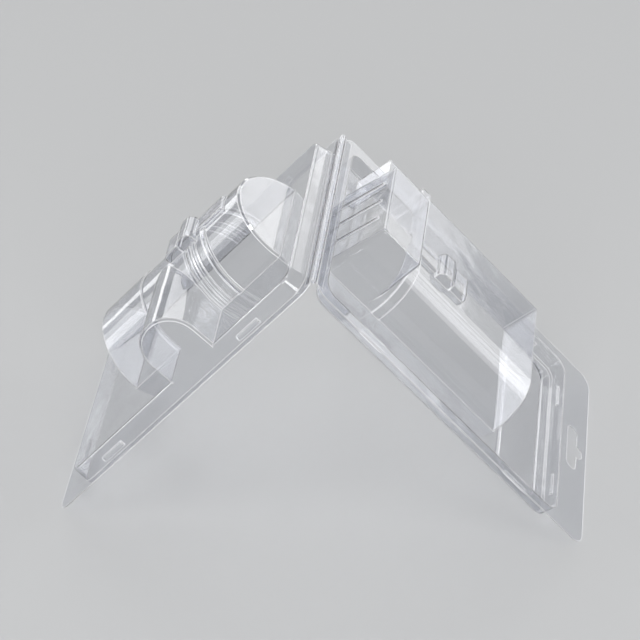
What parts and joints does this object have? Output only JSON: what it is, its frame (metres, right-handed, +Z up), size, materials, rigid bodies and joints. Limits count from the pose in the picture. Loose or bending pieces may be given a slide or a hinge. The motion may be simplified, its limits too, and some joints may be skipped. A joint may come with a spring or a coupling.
{
  "type": "hinged clamshell blister pack",
  "caption": "Clear thermoformed clamshell blister pack standing open on its hang tabs, with a shaped product cavity in each half joined by a living hinge.",
  "frame": {"origin": "on the floor under the middle of the hinge, with the pack standing open like a tent on the ends of its two hang tabs", "axes": "+Z up, +Y along the hinge away from the viewer, +X toward the half that plugs in"},
  "size_m": [0.2618, 0.134, 0.1582],
  "materials": {
    "clear_sheet": "glossy clear"
  },
  "bodies": {
    "female_half": {"female_shell": "clear_sheet"},
    "male_half": {"male_shell": "clear_sheet"}
  },
  "joints": [
    {"name": "living_hinge", "type": "hinge", "parent": "female_half", "child": "male_half", "pos_m": [0, 0, 0.14885], "axis": [0, -1, 0], "range_deg": [-82.4, 97.6]}
  ]
}
